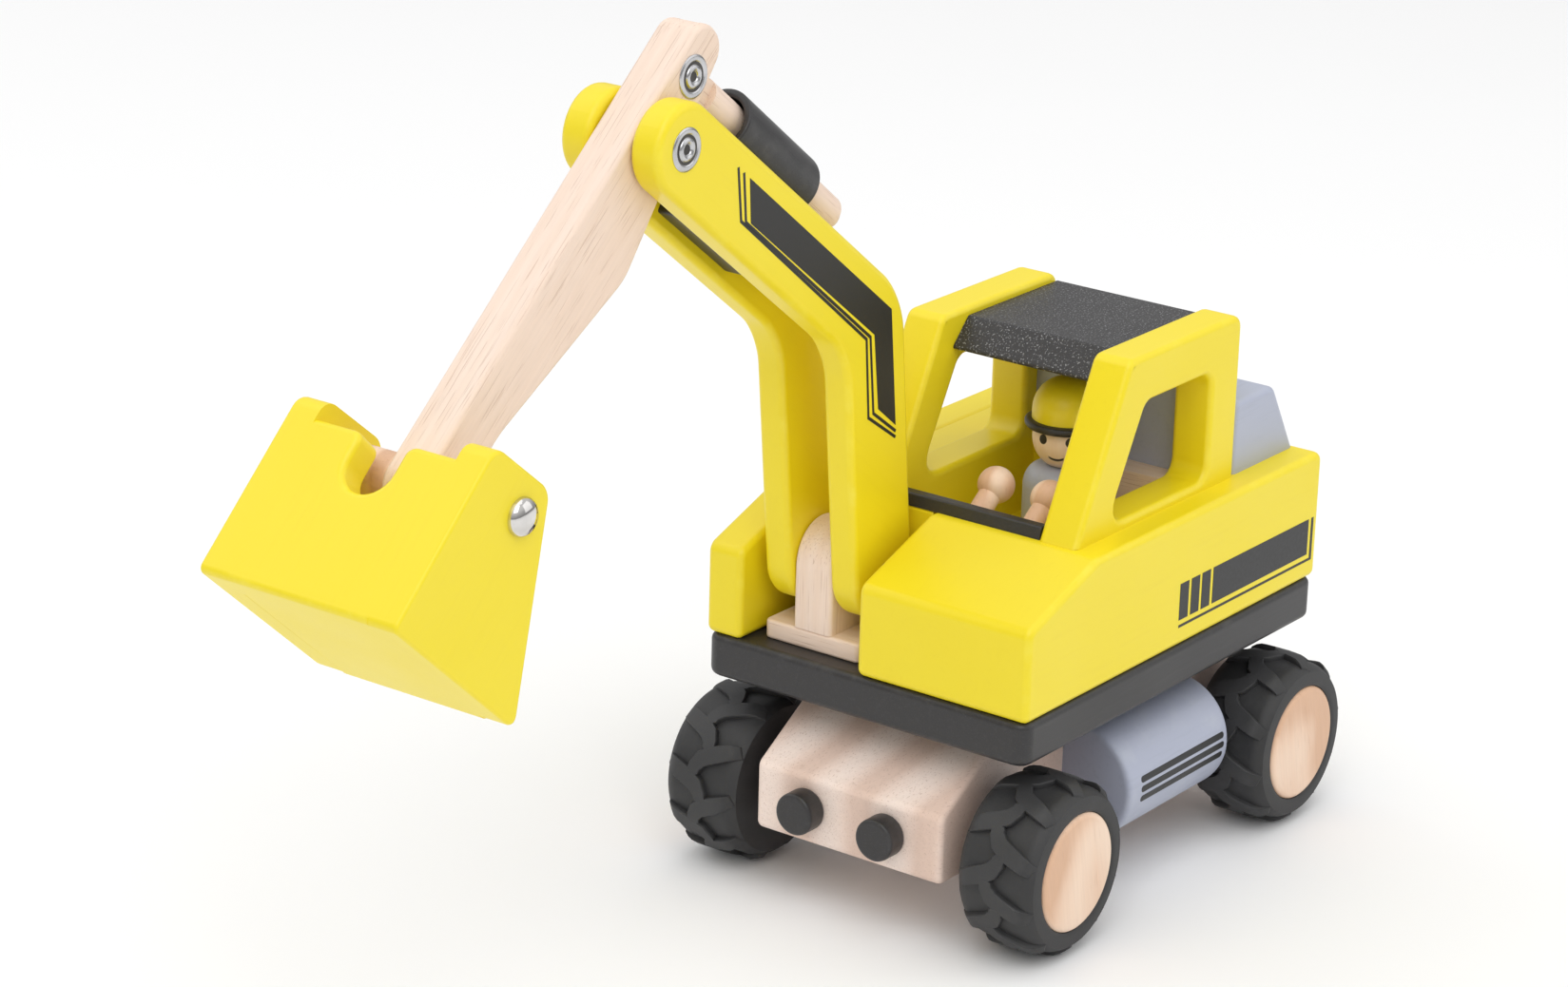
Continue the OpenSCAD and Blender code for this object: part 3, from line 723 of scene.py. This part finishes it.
def driverFace():
    # peg wood with two painted eyes and a short smile, placed from the middle of the head
    material, tree, shader = startMaterial("driverFace")
    coords = node(tree, "TexCoord")
    centre = (-driver["x"] * mm, -driver["y"] * mm, -driver["head"] * mm)
    moved = node(tree, "Mapping", {"Vector": coords.outputs["Object"], "Location": centre})
    faced = node(tree, "Mapping", {"Vector": moved.outputs[0],
                                   "Rotation": (0, 0, math.radians(-driver["facing"]))})
    parts = node(tree, "SeparateXYZ", {"Vector": faced.outputs[0]})
    x, y, z = parts.outputs
    side = node(tree, "Math", operation="ARCTAN2")
    tree.links.new(y, side.inputs[0])
    tree.links.new(x, side.inputs[1])
    turn = side.outputs[0]
    rise = calc(tree, "DIVIDE", z, 0.0106)
    ink = None
    for eye in (-25.5, 25.5):
        across = calc(tree, "DIVIDE", calc(tree, "SUBTRACT", turn, math.radians(eye)), 0.15)
        upward = calc(tree, "DIVIDE", calc(tree, "SUBTRACT", rise, 0.10), 0.15)
        reach = calc(tree, "ADD", calc(tree, "POWER", calc(tree, "ABSOLUTE", across), 2.0),
                     calc(tree, "POWER", calc(tree, "ABSOLUTE", upward), 2.0))
        spot = spread(tree, reach, 0.85, 1.1, 1.0, 0.0)
        ink = spot if ink is None else calc(tree, "MAXIMUM", ink, spot)
    bow = calc(tree, "MULTIPLY", calc(tree, "POWER", calc(tree, "ABSOLUTE", turn), 2.0), 0.9)
    line = calc(tree, "ABSOLUTE", calc(tree, "SUBTRACT", calc(tree, "ADD", rise, 0.50), bow))
    smile = calc(tree, "MULTIPLY", spread(tree, line, 0.03, 0.055, 1.0, 0.0),
                 spread(tree, calc(tree, "ABSOLUTE", turn), 0.24, 0.29, 1.0, 0.0))
    ink = calc(tree, "MAXIMUM", ink, smile)
    grain = noise(tree, place(tree, (0, 90, 0), (0.06, 1, 1)), 500, 4, 0.6)
    wood = ramp(tree, grain, [(0.3, (0.96, 0.78, 0.62)), (0.7, (0.90, 0.68, 0.51))])
    color = mixColor(tree, ink, wood, (0.02, 0.017, 0.016))
    tree.links.new(color, shader.inputs["Base Color"])
    tree.links.new(spread(tree, grain, 0.3, 0.7, 0.40, 0.52), shader.inputs["Roughness"])
    addBump(tree, shader, grain, 0.0001, 0.4)
    return material


def makeDriver():
    d = driver
    spot = Matrix.Translation((d["x"], d["y"], 0))
    base = d["base"]
    body = softProfile([(0, base), (12.9, base), (12.9, base + 22.5), (10.4, base + 26.6),
                        (0, base + 27.6)], 3.2, 6)
    finishPiece("driverBody", move(turned(body, 64), spot), "house", grey, ["driver_body"], 50)
    r = d["headRadius"]
    head = [(r * math.sin(a), d["head"] + r * math.cos(a))
            for a in [math.pi - math.radians(33) - i * math.radians(6) for i in range(14)]]
    head = [(0, head[0][1])] + head + [(0, head[-1][1])]
    finishPiece("driverHead", move(turned(head, 64), spot), "house", driverFace(), ["driver_head"],
                50)
    z = d["head"] + 3.2
    brim = softProfile([(0, z + 0.9), (10.7, z + 0.9), (11.2, z), (13.2, z + 0.5), (13.2, z + 2.6),
                        (11.4, z + 3), (0, z + 3)], 0.9)
    finishPiece("hatBrim", move(turned(brim, 64), spot), "house", black, ["driver_brim"], 50)
    z = z + 3
    r = d["hatRadius"]
    hat = [(0, z), (r, z), (r, z + 2.6)]
    hat += [(r * math.cos(math.radians(a)), z + 2.6 + r * math.sin(math.radians(a)))
            for a in range(8, 90, 8)]
    hat += [(0, z + 13.6)]
    finishPiece("hat", move(turned(hat, 64), spot), "house", yellow, ["driver_hat"], 50)


makeDriver()
print("driver done")


boom = {"outline": [(76.85, 89.01), (86.5, 180.83), (185.06, 256.18), (168.24, 278.19), (57.68, 193.66),
                    (47.01, 92.15)],
        "radii": [14.85, 25, 13.7, 13.7, 28, 14.85], "inner": 7.3, "outer": 17.6, "rim": 2.4}
barrel = {"from": 214.9, "to": 258.8, "offset": 126.4, "radius": 10.2, "bore": 7.8}


def makeBoom():
    b = boom
    for side, word in ((1, "left"), (-1, "right")):
        near, far = boomMid + side * b["inner"], boomMid + side * b["outer"]
        bm = cutBoard(b["outline"], b["radii"], min(near, far), max(near, far), (b["rim"], b["rim"]))
        finishPiece("boomPlate" + word.title(), bm, "boom", yellowBoom, ["boom_plate_" + word])
    r = barrel
    length = r["to"] - r["from"]
    profile = softProfile([(r["bore"], 0.6), (r["bore"] + 0.6, 0), (r["radius"], 0), (r["radius"], length),
                           (r["bore"] + 0.6, length), (r["bore"], length - 0.6)], 0.9)
    bm = turned(profile + [profile[0]], 72)
    spot = (Matrix.Translation((0, boomMid, 0)) @ Matrix.Rotation(math.radians(-37.4), 4, "Y")
            @ Matrix.Translation((r["from"], 0, r["offset"])) @ Matrix.Rotation(math.radians(90), 4, "Y"))
    finishPiece("barrelTube", move(bm, spot), "boom", blackBarrel, ["barrel"], 40)


eyelets = {"stickEyelet": {"body": "boom", "stands": "stick_rivet", "spot": (166.6, 259.5), "half": 17.6},
           "rodEyelet": {"body": "stick", "stands": "rod_rivet", "spot": (150.545, 275.468), "half": 7.0}}
eyeletHeight = 0.9


def makeEyelets():
    for name, e in eyelets.items():
        body, spot, half, cap = e["body"], e["spot"], e["half"], eyeletHeight
        for side, word in ((1, "Left"), (-1, "Right")):
            profile = [(0, half + 0.06), (1.5, half + 0.06), (1.75, half + 0.5), (2.5, half + cap),
                       (3.3, half + 0.6), (3.55, half + 0.15), (4.35, half + 0.15), (4.8, half + 0.5),
                       (5.8, half + 0.5), (6.4, half + 0.2), (6.4, half), (0, half)]
            bm = turned(softProfile(profile, 0.22), 48)
            move(bm, Matrix.Translation((0, boomMid, 0)) @ alongY(spot[0], spot[1], side))
            stand = [e["stands"]] if side > 0 else []
            finishPiece(name + word, bm, body, steel, stand, 40)
            # painted shade: a dark disc in the rivet's hollow, standing for the shade in its bore
            bm = turned([(0, half + 0.05), (1.6, half + 0.05), (1.6, half + 0.12), (0, half + 0.12)], 32)
            move(bm, Matrix.Translation((0, boomMid, 0)) @ alongY(spot[0], spot[1], side))
            finishPiece(name + "Hollow" + word, bm, body, paintedShadeSteel)
            # painted shade: a dark ring in the rivet's groove, standing for the shade there
            ring = [(3.4, half + 0.1), (4.5, half + 0.1), (4.5, half + 0.22), (3.4, half + 0.22)]
            bm = turned(ring + [ring[0]], 48)
            move(bm, Matrix.Translation((0, boomMid, 0)) @ alongY(spot[0], spot[1], side))
            finishPiece(name + "GrooveShade" + word, bm, body, paintedShadeSteel)


makeBoom()
makeEyelets()
print("boom done")


stick = {"pivot": (166.6, 259.5), "angle": -41.3,
         "outline": [(-37.5, 10.3), (129.5, 9.75), (129.5, -8.2), (95, -8.2), (34, -19.6), (-38.5, -3.2)],
         "radii": [6.8, 8.8, 8.8, 30, 16, 6.8], "half": 7.0, "rim": 1.5, "fork": 3.7}
bucket = {"pivot": (257.655, 180.571), "angle": -44.4, "half": 35, "board": 10,
          "side": [(-8.6, 22.9), (-11.8, -5.8), (43.9, -42.2), (48.6, 22.9)], "sideRadii": [5, 6, 2.6, 2.2],
          "floor": [(47.8, 12.5), (38.2, 12.5), (34.4, -39.2), (43.9, -42)], "floorRadii": [0, 0, 2, 2],
          "back": (-2.5, 48.4), "backFrom": 12.5, "backTo": 22.9, "notch": 14.5, "notchHalf": 8}


def makeStick():
    s = stick
    bm = cutBoard(s["outline"], s["radii"], boomMid - s["half"], boomMid + s["half"], (s["rim"], s["rim"]))
    slot = boxCutter((-50, boomMid - s["fork"], -30), (-11, boomMid + s["fork"], 7.6))
    bm = swing(carve(bm, slot), s["pivot"], s["angle"])
    finishPiece("stickBoard", bm, "stick", stickWood, ["stick"])


def makeBucket():
    b = bucket
    inner = b["half"] - b["board"]
    for side, word in ((1, "left"), (-1, "right")):
        near, far = boomMid + side * inner, boomMid + side * b["half"]
        rims = (0, 1.1) if side > 0 else (1.1, 0)
        bm = cutBoard(b["side"], b["sideRadii"], min(near, far), max(near, far), rims)
        finishPiece("bucketSide" + word.title(), swing(bm, b["pivot"], b["angle"]), "bucket", yellowBucket,
                    ["bucket_side_" + word])
    bm = cutBoard(b["floor"], b["floorRadii"], boomMid - inner, boomMid + inner, (0, 0))
    finishPiece("bucketFloor", swing(bm, b["pivot"], b["angle"]), "bucket", yellowBucket, ["bucket_floor"])
    top, bottom = b["back"]
    n, k = b["notchHalf"], b["notch"]
    outline = [(top, -inner), (bottom, -inner), (bottom, inner), (top, inner), (top, n), (k, n), (k, -n),
               (top, -n)]
    bm = cutBoard(outline, [0, 0, 0, 0, 3.2, 7.9, 7.9, 3.2], 0, b["backTo"] - b["backFrom"], (1.0, 2.0),
                  skip=lambda v: abs(v.z) > inner - 0.1 or (v.x > bottom - 0.1 and v.y < 1))
    layFlat(bm, b["backFrom"])
    # the lower end slopes as the side boards do
    for vert in bm.verts:
        if vert.co.x > 44:
            slope = 43.9 + 4.7 * (vert.co.z + 42.2) / 65.1 - bottom
            vert.co.x += slope * (vert.co.x - 44) / (bottom - 44)
    move(bm, Matrix.Translation((0, boomMid, 0)))
    finishPiece("bucketBack", swing(bm, b["pivot"], b["angle"]), "bucket", yellowBucket, ["bucket_back"])
    x, z = b["pivot"]
    for side, word in ((1, "Left"), (-1, "Right")):
        half = b["half"]
        dome = [(0, half - 8), (3.2, half - 8), (3.2, half), (5.6, half), (5.55, half + 0.8),
                (5.2, half + 1.6), (4.5, half + 2.35), (3.4, half + 2.95), (2.0, half + 3.35),
                (0, half + 3.48)]
        bm = turned(dome, 48)
        move(bm, Matrix.Translation((0, boomMid, 0)) @ alongY(x, z, side))
        stand = ["bucket_pin"] if side > 0 else []
        finishPiece("bucketPinHead" + word, bm, "bucket", chrome, stand, 50)
    rod = turned([(0, -30), (3.2, -30), (3.2, 30), (0, 30)], 32)
    move(rod, Matrix.Translation((0, boomMid, 0)) @ alongY(x, z))
    finishPiece("bucketPinRod", rod, "bucket", steel)


makeStick()
makeBucket()
print("stick and bucket done")


boomStripes = {"band": [(137.1, 245.4), (64.8, 189.9), (60.6, 152.1), (70.1, 159.6), (73.3, 183.8),
                        (136.2, 231.8)],
               "lineA": [(142.6, 249.6), (140.8, 233.4), (77.3, 183.3), (75.0, 158.0), (60.5, 148.3)],
               "lineB": [(139.9, 247.5), (138.5, 232.6), (75.3, 183.5), (72.5, 158.8), (60.5, 150.2)],
               "lineHalf": 0.5, "thick": 0.12, "sink": 0.04}
sideStripes = {"bars": [(-5.1, 0.1), (-11.5, -6.5), (-17.9, -12.8)], "panel": (-78, -19.4), "low": 87.6,
               "high": 99.7,
               "line": (-81, 0), "lineLow": 85.1, "lineHigh": 86.0, "edge": (-81, -79.6)}


def inkShape(name, body, points, y, side):
    bm = bmesh.new()
    bm.faces.new([bm.verts.new((px, 0, pz)) for px, pz in points])
    grown = bmesh.ops.extrude_face_region(bm, geom=bm.faces[:], use_keep_orig=True)
    far = [v for v in grown["geom"] if isinstance(v, bmesh.types.BMVert)]
    bmesh.ops.translate(bm, verts=far, vec=(0, side * boomStripes["thick"], 0))
    bmesh.ops.translate(bm, verts=bm.verts[:], vec=(0, y - side * boomStripes["sink"], 0))
    bmesh.ops.triangulate(bm, faces=[f for f in bm.faces if len(f.verts) > 4])
    finishPiece(name, bm, body, ink, smoothAngle=20)


def widen(path, half):
    # a line of this half width along a path, mitred at its corners
    left, right = [], []
    for i, here in enumerate(path):
        p = Vector(here)
        before = (p - Vector(path[i - 1])).normalized() if i > 0 else None
        after = (Vector(path[i + 1]) - p).normalized() if i < len(path) - 1 else None
        a = before or after
        b = after or before
        normal = (Vector((-a.y, a.x)) + Vector((-b.y, b.x))).normalized()
        reach = half / max(0.4, normal.dot(Vector((-a.y, a.x))))
        left.append(tuple(p + normal * reach))
        right.append(tuple(p - normal * reach))
    return left + right[::-1]


def makeStripes():
    s = boomStripes
    for side, word in ((1, "Left"), (-1, "Right")):
        y = boomMid + side * boom["outer"]
        inkShape("boomBand" + word, "boom", s["band"], y, side)
        inkShape("boomLineA" + word, "boom", widen(s["lineA"], s["lineHalf"]), y, side)
        inkShape("boomLineB" + word, "boom", widen(s["lineB"], s["lineHalf"]), y, side)
    p = sideStripes
    for side, word in ((1, "Left"), (-1, "Right")):
        y = side * 60
        shapes = [(a, b, p["low"], p["high"]) for a, b in p["bars"]]
        shapes.append((*p["panel"], p["low"], p["high"]))
        shapes.append((*p["line"], p["lineLow"], p["lineHigh"]))
        shapes.append((*p["edge"], p["lineHigh"], p["high"]))
        for index, (a, b, low, high) in enumerate(shapes):
            corners = [(a, low), (b, low), (b, high), (a, high)]
            inkShape("sideStripe" + word + str(index + 1), "house", corners, y, side)


makeStripes()
print("stripes done")


keptFinish = {"turntable_washer": black, "slew_pin": steel, "front_axle_rod": postWood,
              "rear_axle_rod": postWood, "front_spacers": black, "rear_spacers": black,
              "cab_back_wall": grey, "cab_bench": footWood, "lever_left": pegWood, "lever_right": pegWood,
              "boom_pivot_pin": rodWood, "boom_filler": blackBarrel, "push_rod": rodWood,
              "bucket_spacers": hubWood}


def dressKept():
    for name, material in keptFinish.items():
        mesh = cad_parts[name].data
        mesh.materials.clear()
        mesh.materials.append(material)


dressKept()


stage = {"half": 4.0, "color": (0.93, 0.93, 0.93)}
lights = [("keyLight", (1.3, 1.0, 1.9), 1.6, 15), ("fillLight", (-1.2, 1.6, 1.2), 1.8, 7),
          ("rimLight", (0.4, -1.7, 1.5), 1.6, 6), ("topLight", (0.1, 0.1, 2.4), 1.8, 8)]
lens = {"spot": (1.09303, 0.70962, 0.57472), "azimuth": 126.295, "elevation": 19.5263, "roll": 1.54679,
        "focal": 100.324}


def makeStage():
    bm = bmesh.new()
    bmesh.ops.create_grid(bm, x_segments=1, y_segments=1, size=stage["half"])
    mesh = bpy.data.meshes.new("floor")
    bm.to_mesh(mesh)
    bm.free()
    floor = bpy.data.objects.new("floor", mesh)
    bpy.context.scene.collection.objects.link(floor)
    floor.location.z = -0.0002
    material, tree, shader = startMaterial("floorPaper")
    cloud = noise(tree, place(tree), 3, 2, 0.5)
    base = stage["color"]
    tree.links.new(mixColor(tree, cloud, base, tuple(c * 0.985 for c in base)), shader.inputs["Base Color"])
    shader.inputs["Roughness"].default_value = 0.9
    mesh.materials.append(material)

    world = bpy.data.worlds.new("studio")
    world.use_nodes = True
    sky = world.node_tree
    # pale overhead and underfoot and darker near the horizon, for the metal to mirror
    away = node(sky, "TexCoord").outputs["Generated"]
    height = node(sky, "SeparateXYZ", {"Vector": away}).outputs["Z"]
    shade = spread(sky, calc(sky, "ABSOLUTE", height), 0.0, 0.55, 0.42, 1.12)
    tint = node(sky, "CombineColor", {"Red": shade, "Green": shade, "Blue": shade})
    sky.links.new(tint.outputs[0], sky.nodes["Background"].inputs[0])
    sky.nodes["Background"].inputs[1].default_value = 0.74
    bpy.context.scene.world = world
    for name, spot, size, power in lights:
        data = bpy.data.lights.new(name, "AREA")
        data.size = size
        data.energy = power
        lamp = bpy.data.objects.new(name, data)
        lamp.location = spot
        lamp.rotation_euler = (Vector((0.05, 0, 0.12)) - Vector(spot)).to_track_quat("-Z", "Y").to_euler()
        bpy.context.scene.collection.objects.link(lamp)


def makeCamera():
    a, e, r = (math.radians(lens[k]) for k in ("azimuth", "elevation", "roll"))
    back = Vector((math.sin(a) * math.cos(e), -math.cos(a) * math.cos(e), math.sin(e)))
    right = Vector((math.cos(a), math.sin(a), 0))
    up = back.cross(right)
    x = right * math.cos(r) + up * math.sin(r)
    y = -right * math.sin(r) + up * math.cos(r)
    data = bpy.data.cameras.new("camera")
    data.lens = lens["focal"]
    data.sensor_width = 36
    data.clip_start = 0.01
    data.clip_end = 50
    camera = bpy.data.objects.new("camera", data)
    turn = Matrix((x, y, back)).transposed()
    camera.matrix_world = Matrix.Translation(lens["spot"]) @ turn.to_4x4()
    bpy.context.scene.collection.objects.link(camera)
    bpy.context.scene.camera = camera


makeStage()
makeCamera()
bpy.context.scene.view_settings.view_transform = "Standard"

print("stage and camera done")
